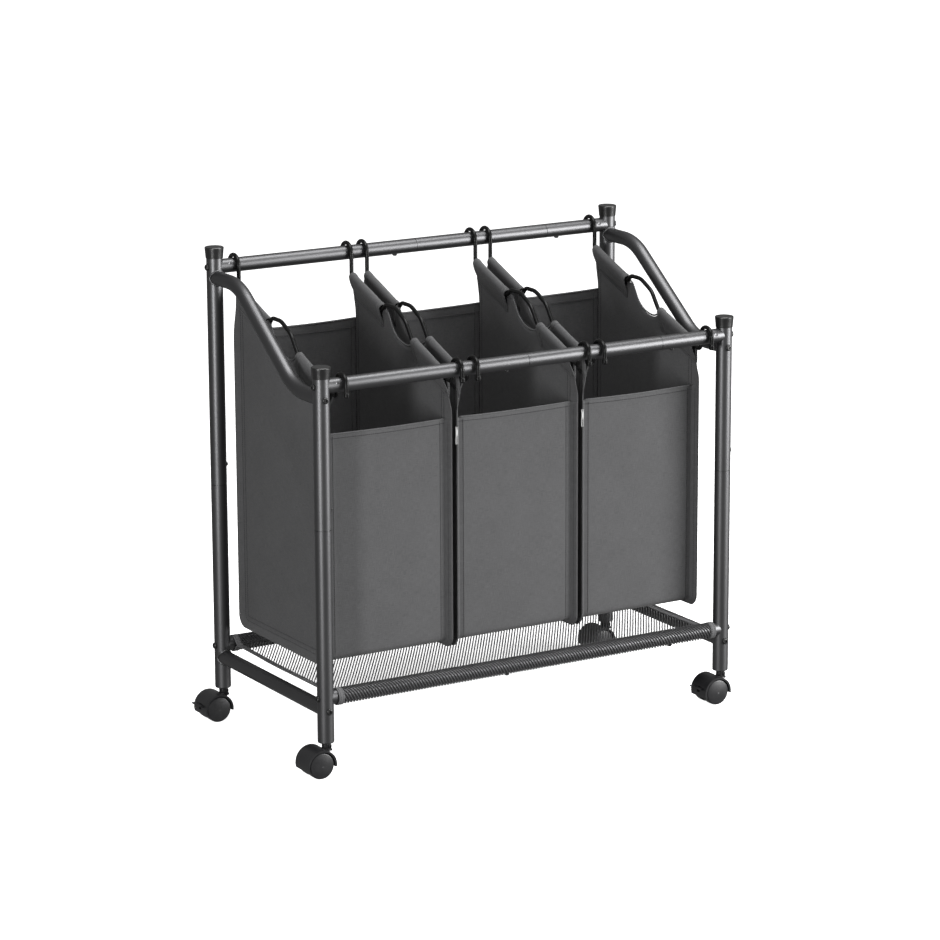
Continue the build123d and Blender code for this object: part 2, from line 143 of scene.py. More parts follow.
def makeCoatedSteel(look):
    # satin powder coat with a fine orange peel
    finish = Finish("coatedSteel")
    place = finish.coords()
    peel = finish.speckle(place, look["peelScale"], 2)
    cloud = finish.speckle(place, look["cloudScale"], 2)
    colour = finish.blendColour(cloud, look["dark"], look["light"])
    return finish.wear({
        "Base Color": colour,
        "Metallic": look["metallic"],
        "Roughness": look["rough"] + (cloud - 0.5) * 0.05,
        "Normal": finish.bump(peel, 0.02, 0.00005),
    })


coatedSteel = makeCoatedSteel({
    "dark": (0.102, 0.102, 0.105), "light": (0.124, 0.124, 0.127),
    "metallic": 1.0, "rough": 0.43, "peelScale": 700.0, "cloudScale": 9.0,
})


def makePlastic(name, look):
    # moulded plastic: faint mottled sheen and a fine grain
    finish = Finish(name)
    place = finish.coords()
    grain = finish.speckle(place, look["grainScale"], 3)
    patches = finish.speckle(place, look["patchScale"], 2)
    colour = finish.blendColour(patches, look["dark"], look["light"])
    return finish.wear({
        "Base Color": colour,
        "Roughness": look["rough"] + (patches - 0.5) * 0.14,
        "Normal": finish.bump(grain, look["grain"], 0.0003),
        "IOR": 1.5, "Specular IOR Level": look.get("shine", 0.5),
    })


capPlastic = makePlastic("capPlastic", {
    "dark": (0.006, 0.006, 0.006), "light": (0.012, 0.012, 0.012),
    "rough": 0.34, "grain": 0.25, "grainScale": 1400.0, "patchScale": 60.0,
})
castorPlastic = makePlastic("castorPlastic", {
    "dark": (0.008, 0.008, 0.009), "light": (0.016, 0.016, 0.017),
    "rough": 0.33, "grain": 0.18, "grainScale": 1600.0, "patchScale": 70.0,
})
wheelPlastic = makePlastic("wheelPlastic", {
    "dark": (0.010, 0.010, 0.011), "light": (0.019, 0.019, 0.020),
    "rough": 0.38, "grain": 0.2, "grainScale": 1200.0, "patchScale": 90.0,
})
vinylCoat = makePlastic("vinylCoat", {
    "dark": (0.004, 0.004, 0.004), "light": (0.008, 0.008, 0.008),
    "rough": 0.30, "shine": 0.16, "grain": 0.1, "grainScale": 500.0, "patchScale": 40.0,
})
blackOxide = makePlastic("blackOxide", {
    "dark": (0.007, 0.007, 0.007), "light": (0.016, 0.016, 0.016),
    "rough": 0.34, "grain": 0.15, "grainScale": 2000.0, "patchScale": 300.0,
})


def makeZinc():
    # bright plating with fine turning marks
    finish = Finish("zincPlate")
    place = finish.coords()
    marks = finish.speckle(place, 900.0, 2)
    colour = finish.blendColour(finish.speckle(place, 60.0), (0.45, 0.45, 0.46), (0.62, 0.62, 0.63))
    return finish.wear({
        "Base Color": colour, "Metallic": 1.0, "Roughness": 0.28 + marks * 0.15,
        "Normal": finish.bump(marks, 0.2, 0.0002),
    })


zincPlate = makeZinc()


def weaveHeight(u, v, pitch):
    # plain weave: rounded threads that pass over and under one another
    turn = 2 * math.pi / pitch
    warp = (u * turn).sine()
    weft = (v * turn).sine()
    return (warp * weft) * 0.5 + 0.5


def makeCloth(name, look):
    # plain woven polyester, its threads set out in real sizes by the piece's own UVs
    finish = Finish(name)
    uv = finish.coords("UV")
    u, v, _ = finish.parts(uv)
    fine = weaveHeight(u, v, look["pitch"])
    slubs = []
    for stretch in ((1600, 90, 1), (90, 1600, 1)):  # along the warp, then along the weft
        drawn = finish.add("ShaderNodeMapping", {}, {"Vector": uv, "Scale": stretch})
        slubs.append(finish.add("ShaderNodeTexNoise", {"noise_dimensions": "2D"}, {
            "Vector": drawn, "Scale": 1.0, "Detail": 2}))
    slub = (slubs[0] + slubs[1]) * 0.5
    mottle = finish.speckle(uv, look["mottleScale"], 4, 0.6)
    shade = (slub - 0.5) * look["slub"] + (mottle - 0.5) * look["mottle"]
    shade = shade + (fine - 0.5) * look["weave"] + 0.5
    colour = finish.blendColour(shade, look["dark"], look["light"])
    relief = finish.bump(fine, 0.35, 0.00025)
    relief = finish.bump(slub, 0.4, 0.0004, relief)
    relief = finish.bump(finish.speckle(uv, 55.0, 3), look["crumple"], 0.0015, relief)
    return finish.wear({
        "Base Color": colour, "Roughness": 0.86 + (mottle - 0.5) * 0.12, "Normal": relief,
        "Sheen Weight": 0.08, "Sheen Roughness": 0.5, "Specular IOR Level": 0.25,
    })


bagCloth = makeCloth("bagCloth", {
    "dark": (0.040, 0.040, 0.041), "light": (0.098, 0.098, 0.100), "pitch": 0.0011,
    "slub": 1.1, "mottle": 0.35, "weave": 0.35, "mottleScale": 18.0, "crumple": 0.12,
})
hemCloth = makeCloth("hemCloth", {
    "dark": (0.040, 0.040, 0.041), "light": (0.100, 0.100, 0.102), "pitch": 0.0011,
    "slub": 1.1, "mottle": 0.3, "weave": 0.35, "mottleScale": 30.0, "crumple": 0.2,
})
bindingTape = makeCloth("bindingTape", {
    "dark": (0.055, 0.055, 0.057), "light": (0.135, 0.135, 0.138), "pitch": 0.0016,
    "slub": 0.8, "mottle": 0.25, "weave": 0.9, "mottleScale": 60.0, "crumple": 0.1,
})
# sewing thread: real stitches, but coloured darker than the cloth as painted shade of the sunken stitch lines
# along the seams
threadWithPaintedShade = makeCloth("threadWithPaintedShade", {
    "dark": (0.012, 0.012, 0.013), "light": (0.045, 0.045, 0.047), "pitch": 0.0006,
    "slub": 0.5, "mottle": 0.2, "weave": 0.6, "mottleScale": 60.0, "crumple": 0.0,
})


def makeYarn(name, look):
    # twisted yarn of the knitted net, or the satin of a sewn-in tab
    finish = Finish(name)
    uv = finish.coords("UV")
    u, v, _ = finish.parts(uv)
    twist = ((v + u * look["slant"]) * (2 * math.pi / look["pitch"])).sine() * 0.5 + 0.5
    fuzz = finish.speckle(finish.coords(), 2600.0, 2)
    colour = finish.blendColour(twist * 0.45 + fuzz * 0.6, look["dark"], look["light"])
    return finish.wear({
        "Base Color": colour, "Roughness": look["rough"] + (fuzz - 0.5) * 0.2,
        "Normal": finish.bump(twist, 0.5, 0.0003), "Sheen Weight": 0.12, "Specular IOR Level": 0.4,
    })


netYarn = makeYarn("netYarn", {
    "dark": (0.006, 0.006, 0.007), "light": (0.050, 0.050, 0.052),
    "pitch": 0.0022, "slant": 1.0, "rough": 0.55,
})
tabSatin = makeYarn("tabSatin", {
    "dark": (0.40, 0.40, 0.40), "light": (0.66, 0.66, 0.65), "pitch": 0.0011, "slant": 0.0, "rough": 0.5,
})
print("finishes made")

seam = (3.4 * mm, 2.9 * mm, 0.48 * mm)  # pitch, stitch and thread radius of the bags' double rows


# mesh helpers

def placePiece(name, points, faces, finish, body, uvs=None, solid=None, bevel=None, sub=0, inward=0.0):
    mesh = bpy.data.meshes.new(name)
    mesh.from_pydata([tuple(p) for p in points], [], faces)
    if uvs is not None:
        layer = mesh.uv_layers.new(name="clothUv")
        for loop in mesh.loops:
            layer.data[loop.index].uv = uvs[loop.vertex_index]
    mesh.materials.append(finish)
    mesh.validate()
    for polygon in mesh.polygons:
        polygon.use_smooth = True
    piece = bpy.data.objects.new(name, mesh)
    bpy.context.scene.collection.objects.link(piece)
    if solid:
        thick = piece.modifiers.new("thickness", "SOLIDIFY")
        thick.thickness = solid
        thick.offset = inward
    if sub:
        smooth = piece.modifiers.new("smooth", "SUBSURF")
        smooth.levels = smooth.render_levels = sub
    if bevel:
        rounded = piece.modifiers.new("edges", "BEVEL")
        rounded.width = bevel
        rounded.segments = 3
        rounded.limit_method = "ANGLE"
    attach(piece, body)
    return piece


class Patch:
    # gathers grids and loose faces into one mesh
    def __init__(self):
        self.points = []
        self.faces = []
        self.uvs = []

    def grid(self, rows, uvRows, closed=False, flip=False):
        start = len(self.points)
        wide = len(rows[0])
        for row, uvRow in zip(rows, uvRows):
            self.points += row
            self.uvs += uvRow
        last = wide if closed else wide - 1
        for i in range(len(rows) - 1):
            for j in range(last):
                k = (j + 1) % wide
                here = start + i * wide
                face = [here + j, here + k, here + wide + k, here + wide + j]
                self.faces.append(face[::-1] if flip else face)

    def tube(self, rows, uvRows):
        # a closed grid whose two ends are capped on its own points
        start, wide = len(self.points), len(rows[0])
        self.grid(rows, uvRows, closed=True)
        for first, backwards in ((start, True), (start + (len(rows) - 1) * wide, False)):
            middle = len(self.points)
            self.points.append(sum(self.points[first:first + wide], Vector()) / wide)
            self.uvs.append(self.uvs[first])
            for j in range(wide):
                face = [first + j, first + (j + 1) % wide, middle]
                self.faces.append(face[::-1] if backwards else face)

    def fan(self, ring, centre, uv=(0, 0), flip=False):
        start = len(self.points)
        self.points += ring + [centre]
        self.uvs += [uv] * (len(ring) + 1)
        for j in range(len(ring)):
            face = [start + j, start + (j + 1) % len(ring), start + len(ring)]
            self.faces.append(face[::-1] if flip else face)

    def place(self, name, finish, body, **more):
        return placePiece(name, self.points, self.faces, finish, body, uvs=self.uvs, **more)


def sweepSection(patch, centres, frames, section, closed=True, caps=False, flip=False):
    # carries a flat section along a path; frames holds each point's two cross directions
    rows, uvs = [], []
    run = 0.0
    for i, (centre, (across, up)) in enumerate(zip(centres, frames)):
        if i:
            run += (centre - centres[i - 1]).length
        shape = section(i / (len(centres) - 1)) if callable(section) else section
        rows.append([centre + across * a + up * b for a, b in shape])
        girth, uvRow = 0.0, []
        for j, (a, b) in enumerate(shape):
            if j:
                girth += math.hypot(a - shape[j - 1][0], b - shape[j - 1][1])
            uvRow.append((girth, run))
        uvs.append(uvRow)
    patch.grid(rows, uvs, closed, flip)
    if caps:
        patch.fan(rows[0], sum(rows[0], Vector()) / len(rows[0]), flip=not flip)
        patch.fan(rows[-1], sum(rows[-1], Vector()) / len(rows[-1]), flip=flip)


def ringSection(radius, sides, squash=1.0):
    turns = [2 * math.pi * i / sides for i in range(sides)]
    return [(radius * math.cos(turn), radius * squash * math.sin(turn)) for turn in turns]


def smoothStep(low, high, value):
    t = min(1.0, max(0.0, (value - low) / (high - low)))
    return t * t * (3 - 2 * t)


def ripple(x, y, z, scale, seed):
    return noise.noise(Vector((x * scale + seed, y * scale - seed * 0.7, z * scale + seed * 1.3)))


def sewRow(patch, walk, pitch, dash, radius):
    # short stitches along walk(distance) -> (point, normal), over the distances in walk.length
    count = int(walk.length / pitch)
    for i in range(count):
        start = (i + 0.5) * walk.length / count
        a, n = walk(start - dash / 2)
        b, _ = walk(start + dash / 2)
        along = b - a
        if along.length < 1e-6:
            continue
        side = along.cross(n).normalized() * radius
        lift = n.normalized() * radius
        ring = []
        for t, swell in ((0.0, 0.35), (0.25, 1.0), (0.75, 1.0), (1.0, 0.35)):
            middle = a + along * t
            across, above = side * swell, lift * swell
            ring.append([middle + across, middle + above, middle - across, middle - above])
        patch.grid(ring, [[(0.001 * j, dash * k / 3) for j in range(4)] for k in range(4)], closed=True)


class Walk:
    # a sewing line made from a list of points and normals
    def __init__(self, points, normals):
        self.points, self.normals = points, normals
        self.marks = [0.0]
        for a, b in zip(points, points[1:]):
            self.marks.append(self.marks[-1] + (b - a).length)
        self.length = self.marks[-1]
        self.last = 0

    def __call__(self, distance):
        distance = min(max(distance, 0.0), self.length)
        i = self.last if self.marks[self.last] <= distance else 0
        while i < len(self.marks) - 2 and self.marks[i + 1] < distance:
            i += 1
        self.last = i
        t = (distance - self.marks[i]) / max(self.marks[i + 1] - self.marks[i], 1e-9)
        return self.points[i].lerp(self.points[i + 1], t), self.normals[i].lerp(self.normals[i + 1], t)


# frame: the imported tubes, bolts and caps with their own finishes

def finishNode(name, material, bevel=None, angle=35.0):
    piece = nodes[name]
    piece.data.materials.clear()
    piece.data.materials.append(material)
    piece.data.polygons.foreach_set("use_smooth", [True] * len(piece.data.polygons))
    piece.data.set_sharp_from_angle(angle=math.radians(angle))
    if bevel:
        rounded = piece.modifiers.new("edges", "BEVEL")
        rounded.width = bevel
        rounded.segments = 2
        rounded.limit_method = "ANGLE"
        rounded.angle_limit = math.radians(40)
        rounded.harden_normals = True
    return piece


for name in nodes:
    if name.endswith(("_post", "_tube")) or "_rail" in name:
        finishNode(name, coatedSteel)
    elif "_wheel" in name:
        finishNode(name, wheelPlastic)
    elif name.endswith("_wires"):
        finishNode(name, vinylCoat)
    elif name.endswith(("_hood", "_lever")) or name == "castor_sockets":
        finishNode(name, castorPlastic)
    elif name == "post_caps":
        finishNode(name, capPlastic)
    elif name in ("frame_bolts", "joint_screws"):
        finishNode(name, blackOxide)
    elif name in ("tube_nuts", "castor_stems") or name.endswith("_axle"):
        finishNode(name, zincPlate)
print("frame finished")

weldBead = {"radius": 1.7 * mm, "steps": 56}


def makeWelds(bead):
    # a saddle-shaped fillet where each side tube meets its back post
    patch = Patch()
    for side in ("left", "right"):
        for level in ("upper", "lower"):
            low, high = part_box(f"{side}_{level}_side_tube")
            postLow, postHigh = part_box(f"back_{side}_upper_post")
            postRadius = (postHigh.x - postLow.x) / 2
            axis = Vector(((postLow.x + postHigh.x) / 2, (postLow.y + postHigh.y) / 2, 0))
            tubeRadius = (high.x - low.x) / 2
            height = high.z - tubeRadius
            centres = []
            for i in range(bead["steps"]):
                turn = 2 * math.pi * i / bead["steps"]
                dx = (tubeRadius + 0.4 * mm) * math.cos(turn)
                dy = math.sqrt(max(postRadius ** 2 - dx ** 2, 0))
                dz = (tubeRadius + 0.4 * mm) * math.sin(turn)
                lump = 0.25 * mm * math.sin(turn * 22)
                centres.append(Vector((axis.x + dx, axis.y - dy - 0.3 * mm - lump, height + dz)))
            rows = []
            for i, centre in enumerate(centres):
                along = (centres[(i + 1) % len(centres)] - centres[i - 1]).normalized()
                across = along.cross(Vector((0, 1, 0))).normalized()
                up = across.cross(along)
                size = bead["radius"] * (1 + 0.12 * math.sin(i * 2.9))
                rows.append([centre + across * a * size + up * b * size for a, b in ringSection(1.0, 8)])
            rows.append(rows[0])
            uvRows = [[(j * 0.001, i * 0.001) for j in range(8)] for i in range(len(rows))]
            patch.grid(rows, uvRows, closed=True)
    return patch.place("sideTubeWelds", coatedSteel, "frame")


makeWelds(weldBead)
print("welds made")


# bags

wireLine = {"rise": 623.0 * mm, "slope": 0.376}
bagShape = {
    "crease": 99.6 * mm, "frontFace": -125.0 * mm, "backFace": 144.0 * mm, "floor": 159.0 * mm,
    "frontTop": 507.0 * mm, "backTop": 616.0 * mm, "corner": 10.0 * mm,
    "flangeOut": 9.4 * mm, "flangeLean": 6.9 * mm, "clothThick": 1.0 * mm, "sidePlane": 100.6 * mm,
    "floorSag": 4.0 * mm, "frontBulge": 2.2 * mm, "ripple": 1.1 * mm,
}


# the hand hole's edge, from the back sleeve down and forward to the front one
handHole = [(55.5, 645.5), (52.0, 643.6), (44.5, 639.5), (37.8, 630.1),
            (27.5, 614.9), (10.4, 602.9), (-13.5, 597.9),
            (-27.2, 601.4), (-34.0, 607.6), (-38.0, 611.5)]
sleeveTab = {"low": 467.0 * mm, "high": 494.0 * mm, "wide": 3.4 * mm}


def curveThrough(points, steps):
    # an even-handed curve through the given points
    found = []
    for i in range(len(points) - 1):
        p0, p1 = points[max(i - 1, 0)], points[i]
        p2, p3 = points[i + 1], points[min(i + 2, len(points) - 1)]
        for k in range(steps):
            t = k / steps
            found.append(tuple(0.5 * (2 * b + (c - a) * t + (2 * a - 5 * b + 4 * c - d) * t * t
                                      + (3 * b - a - 3 * c + d) * t ** 3)
                               for a, b, c, d in zip(p0, p1, p2, p3)))
    return found + [points[-1]]


holeEdge = [(y * mm, z * mm) for y, z in curveThrough(handHole, 5)]


def wireHeight(y):
    return wireLine["rise"] + wireLine["slope"] * y


def stripPath(bag):
    # the front-floor-back line at the creases: (y, z, outward y, outward z), about every 8 mm
    found = []

    def line(y0, z0, y1, z1, ny, nz, step=8 * mm):
        count = max(1, round(math.hypot(y1 - y0, z1 - z0) / step))
        for i in range(count):
            t = i / count
            found.append((y0 + (y1 - y0) * t, z0 + (z1 - z0) * t, ny, nz))

    def arc(cy, cz, start, stop, count=7):
        for i in range(count):
            turn = math.radians(start + (stop - start) * i / count)
            ahead, up = math.cos(turn), math.sin(turn)
            found.append((cy + bag["corner"] * ahead, cz + bag["corner"] * up, ahead, up))

    front, back, floor, corner = bag["frontFace"], bag["backFace"], bag["floor"], bag["corner"]
    line(front, bag["frontTop"], front, floor + corner, -1, 0)
    arc(front + corner, floor + corner, 180, 270)
    line(front + corner, floor, back - corner, floor, 0, -1)
    arc(back - corner, floor + corner, -90, 0)
    line(back, floor + corner, back, bag["backTop"], 1, 0)
    found.append((back, bag["backTop"], 1, 0))
    return found


def makeBag(label, bag):
    body = f"{label}_bag"
    low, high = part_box(f"{label}_bag_body")
    centre = (low.x + high.x) / 2
    seed = 3.1 + 7.7 * ("left", "middle", "right").index(label)
    path = stripPath(bag)
    marks = [0.0]
    for a, b in zip(path, path[1:]):
        marks.append(marks[-1] + math.hypot(b[0] - a[0], b[1] - a[1]))
    total = marks[-1]
    crease = bag["crease"]

    def pathAt(run):
        run = min(max(run, 0.0), total)
        i = 0
        while i < len(marks) - 2 and marks[i + 1] < run:
            i += 1
        t = (run - marks[i]) / (marks[i + 1] - marks[i])
        return [a + (b - a) * t for a, b in zip(path[i], path[i + 1])]

    def stripPoint(x, run, off=0.0):
        # a point of the strip: x across the bag, run along the path, off outwards
        y, z, ny, nz = pathAt(run)
        inner = max(0.0, 1 - (x / crease) ** 2)
        out = off
        past = abs(x) - crease
        if past > -1.5 * mm:
            out += bag["flangeOut"] * smoothRamp(past / bag["flangeLean"])
        if nz < -0.9:
            out += bag["floorSag"] * inner * max(0.0, 1 - ((y - 9 * mm) / (130 * mm)) ** 2)
        elif abs(ny) > 0.9:
            top = bag["frontTop"] if ny < 0 else bag["backTop"]
            share = (z - bag["floor"]) / (top - bag["floor"])
            belly = math.sin(math.pi * min(1.0, share * 0.9 + 0.1))
            out += bag["frontBulge"] * inner * belly * (1 if ny < 0 else 0.6)
            out += bag["ripple"] * inner * ripple(x, y, z, 9.0, seed) * 1.6
            out += 0.35 * mm * inner * ripple(x, y, z, 34.0, seed + 5)
            z -= 1.6 * mm * inner * smoothStep(0.75, 1.0, share)
        return Vector((centre + x, y + ny * out, z + nz * out)), Vector((0, ny, nz))

    columns = [crease + bag["flangeLean"] * f for f in (1.0, 0.72, 0.45, 0.22, 0.06, -0.12, -0.3)]
    inside = crease - 4 * mm
    count = 24
    xs = [-c for c in columns] + [-inside + 2 * inside * i / count for i in range(count + 1)] + columns[::-1]
    strip = Patch()
    strip.grid([[stripPoint(x, run)[0] for x in xs] for run in marks],
               [[(x, run) for x in xs] for run in marks])
    stripPiece = strip.place(f"{label}BagStrip", bagCloth, body, solid=bag["clothThick"], sub=1)

    # folded hems along the two free edges
    hems = Patch()
    for edge, depth, sign in ((0.0, 8.5 * mm, 1), (total, 16 * mm, -1)):
        rows, uvs = [], []
        for off, into in ((0.5, 0.16), (0.68, 0.1), (0.7, 0.04), (0.0, -0.04),
                          (-0.7, 0.04), (-0.68, 0.1), (-0.5, 0.16)):
            row = []
            for i in range(41):
                x = -crease + 2 * crease * i / 40
                point, normal = stripPoint(x, edge + sign * max(into, 0) * depth, off * mm)
                if into < 0:
                    point.z += 0.6 * mm
                row.append(point)
            rows.append(row)
            drop = depth * into * (1 if off >= 0 else -1)
            uvs.append([(-crease + 2 * crease * i / 40, drop) for i in range(41)])
        hems.grid(rows, uvs)
    hemPiece = hems.place(f"{label}BagHems", bagCloth, body, solid=0.3 * mm)

    # side panels
    wirePlane = 98.0 * mm
    tipFront, tipBack = bag["frontFace"] - bag["flangeOut"], bag["backFace"] + bag["flangeOut"]
    tipFloor, tipCorner = bag["floor"] - bag["flangeOut"], bag["corner"] + bag["flangeOut"]
    sleeveBack, sleeveFront = (57 * mm, 149.5 * mm), (-134 * mm, -38.5 * mm)
    cosine = 1 / math.hypot(1, wireLine["slope"])
    sine = wireLine["slope"] * cosine

    def rimHeight(y):
        # the panel's top edge: inside the sleeves, or round the hand hole
        for (ya, za), (yb, zb) in zip(holeEdge, holeEdge[1:]):
            if yb <= y <= ya:
                return min(za + (zb - za) * (ya - y) / max(ya - yb, 1e-9) - 1.2 * mm, wireHeight(y) - 1.0 * mm)
        return wireHeight(y) - 9 * mm

    def pulledFold(y, z, y0, z0, y1, z1):
        # closeness to a pulled fold line
        along = (y - y0) * (y1 - y0) + (z - z0) * (z1 - z0)
        t = min(1.0, max(0.0, along / ((y1 - y0) ** 2 + (z1 - z0) ** 2)))
        gap = math.hypot(y - y0 - t * (y1 - y0), z - z0 - t * (z1 - z0))
        return math.exp(-(gap / (2.6 * mm)) ** 2) * (1 - 0.8 * t)

    def inset(y, z):
        # distance inwards from the flange's outer line
        cy = (tipFront + tipBack) / 2
        half = (tipBack - tipFront) / 2
        qy = abs(y - cy) - (half - tipCorner)
        qz = (tipFloor + tipCorner) - z
        outside = math.hypot(max(qy, 0), max(qz, 0)) + min(max(qy, qz), 0)
        return tipCorner - outside

    def sidePoint(sign, y, z, off=0.0):
        d = inset(y, z)
        near = smoothStep(-60 * mm, 60 * mm, y)
        ease = 1 - smoothStep(wireHeight(y) - (58 + 17 * near) * mm, wireHeight(y) - (28 - 10 * near) * mm, z)
        lean = bag["flangeLean"] * smoothRamp((bag["flangeOut"] - d) / bag["flangeOut"]) * (0.25 + 0.75 * ease)
        depth = smoothStep(8 * mm, 70 * mm, d) * smoothStep(10 * mm, 90 * mm, rimHeight(y) - z)
        wave = bag["ripple"] * 1.7 * ripple(sign * 3.3 + centre, y, z, 8.0, seed + 11) * depth
        wave += 0.4 * mm * ripple(sign * 2.0, y, z, 30.0, seed + 17) * depth
        wave -= 1.2 * mm * depth
        wave += 1.7 * mm * pulledFold(y, z, -122 * mm, 566 * mm, -111 * mm, 543 * mm)
        wave -= 1.0 * mm * pulledFold(y, z, -117 * mm, 567 * mm, -106 * mm, 545 * mm)
        wave += 1.3 * mm * pulledFold(y, z, 57 * mm, 634 * mm, 59 * mm, 604 * mm)
        x = sign * (bag["sidePlane"] + lean + wave + off)
        return Vector((centre + x, y, z))

    for side, sign in (("Left", -1), ("Right", 1)):
        panel = Patch()
        across = edgeSpaced(58, 5, 2.4 * mm / (tipBack - tipFront))
        upward = edgeSpaced(70, 5, 2.4 * mm / (440 * mm), False)

        def bottomAt(f):
            quarter = tipCorner * math.pi / 4
            flat = (tipBack - tipFront) - 2 * tipCorner
            run = f * (2 * quarter + flat)
            if run < quarter:
                turn = math.radians(225) + run / tipCorner
                return (tipFront + tipCorner + tipCorner * math.cos(turn),
                        tipFloor + tipCorner + tipCorner * math.sin(turn))
            if run > quarter + flat:
                turn = math.radians(270) + (run - quarter - flat) / tipCorner
                return (tipBack - tipCorner + tipCorner * math.cos(turn),
                        tipFloor + tipCorner + tipCorner * math.sin(turn))
            return tipFront + tipCorner + (run - quarter), tipFloor

        def sideAt(f, edge, topZ):
            quarter = tipCorner * math.pi / 4
            straight = topZ - (tipFloor + tipCorner)
            run = f * (quarter + straight)
            if run < quarter:
                turn = run / tipCorner
                dy, dz = math.cos(math.radians(45) - turn), math.sin(math.radians(45) - turn)
                y = edge + (tipCorner - tipCorner * dy) * (1 if edge < 0 else -1)
                return y, tipFloor + tipCorner - tipCorner * dz
            return edge, tipFloor + tipCorner + run - quarter

        topFront, topBack = rimHeight(tipFront), rimHeight(tipBack)
        rows, uvs = [], []
        for t in upward:
            row, uvRow = [], []
            for s in across:
                by, bz = bottomAt(s)
                ty = tipFront + (tipBack - tipFront) * s
                tz = rimHeight(ty)
                ly, lz = sideAt(t, tipFront, topFront)
                ry, rz = sideAt(t, tipBack, topBack)
                c0, c1 = bottomAt(0.0), bottomAt(1.0)
                y = (1 - t) * by + t * ty + (1 - s) * ly + s * ry
                y -= (1 - s) * (1 - t) * c0[0] + s * (1 - t) * c1[0] + (1 - s) * t * tipFront + s * t * tipBack
                z = (1 - t) * bz + t * tz + (1 - s) * lz + s * rz
                z -= (1 - s) * (1 - t) * c0[1] + s * (1 - t) * c1[1] + (1 - s) * t * topFront + s * t * topBack
                row.append(sidePoint(sign, y, z))
                uvRow.append((y, z))
            rows.append(row)
            uvs.append(uvRow)
        panel.grid(rows, uvs, flip=sign < 0)
        piece = panel.place(f"{label}BagSide{side}", bagCloth, body, solid=bag["clothThick"])

        # the wire's sleeve: cloth folded over the wire and sewn down, in two lengths
        sleeve, bands, trim, sewn = Patch(), Patch(), Patch(), Patch()
        shift = bag["sidePlane"] - wirePlane
        fold = [(shift + 0.7 * mm, -27 * mm), (shift + 0.9 * mm, -20 * mm), (shift + 1.5 * mm, -13 * mm),
                (shift + 2.6 * mm, -6.5 * mm), (5.9 * mm, -1.0 * mm), (5.7 * mm, 2.8 * mm),
                (3.9 * mm, 5.6 * mm), (0.9 * mm, 6.8 * mm), (-2.3 * mm, 6.2 * mm), (-4.7 * mm, 3.8 * mm),
                (-5.2 * mm, 0.2 * mm), (-4.0 * mm, -6.0 * mm), (-1.6 * mm, -13 * mm),
                (shift - 1.3 * mm, -20 * mm), (shift - 0.7 * mm, -27 * mm)]

        def sleeveSpan(patch, y0, y1, grow, wobble, count):
            rows, uvs = [], []
            for i in range(count + 1):
                y = y0 + (y1 - y0) * i / count
                row, uvRow, girth = [], [], 0.0
                for k, (a, b) in enumerate(fold):
                    puff = 1 + wobble * 0.10 * ripple(y, k * 0.13, sign * 2.0, 26.0, seed) + grow / (7 * mm)
                    if b > -9 * mm:
                        a, b = a * puff, b * puff
                    else:
                        a += grow * (1 if a > shift else -1)
                    hang = Vector((0, -sine * b, cosine * b)) if b > 0 else Vector((0, 0, b / cosine))
                    follow = smoothStep(6 * mm, 20 * mm, -b)  # the hem lies on the panel
                    panelSpot = sidePoint(sign, y, wireHeight(y) + hang.z)
                    a += follow * (abs(panelSpot.x - centre) - bag["sidePlane"])
                    row.append(Vector((centre + sign * (wirePlane + a), y, wireHeight(y))) + hang)
                    if k:
                        girth += (row[-1] - row[-2]).length
                    uvRow.append((girth, y / cosine))
                rows.append(row)
                uvs.append(uvRow)
            patch.grid(rows, uvs, flip=sign > 0)

        for y0, y1 in (sleeveFront, sleeveBack):
            sleeveSpan(sleeve, y0, y1, 0.0, 1.0, 26)
            for a, b in ((y0 - 0.3 * mm, y0 + 7.5 * mm), (y1 - 7.5 * mm, y1 + 0.3 * mm)):
                sleeveSpan(bands, a, b, 0.7 * mm, 0.6, 5)
        sleevePiece = sleeve.place(f"{label}BagSleeve{side}", bagCloth, body, solid=0.9 * mm)
        bandPiece = bands.place(f"{label}BagSleeveHems{side}", hemCloth, body, solid=0.5 * mm)

        # bound edge of the hand hole
        centres, frames = [], []
        for i, (y, z) in enumerate(holeEdge):
            (ya, za), (yb, zb) = holeEdge[max(i - 1, 0)], holeEdge[min(i + 1, len(holeEdge) - 1)]
            along = Vector((0, yb - ya, zb - za)).normalized()
            outward = Vector((0, along.z, -along.y))
            centres.append(Vector((centre + sign * bag["sidePlane"], y, z)) + outward * 1.0 * mm)
            frames.append((Vector((sign, 0, 0)), outward))
        turns = [2 * math.pi * k / 12 for k in range(12)]
        oval = [(0.95 * mm * math.cos(turn), 1.5 * mm * math.sin(turn)) for turn in turns]
        sweepSection(trim, centres, frames, oval, closed=True, caps=True, flip=sign < 0)
        trimPiece = trim.place(f"{label}BagHandHole{side}", bindingTape, body)

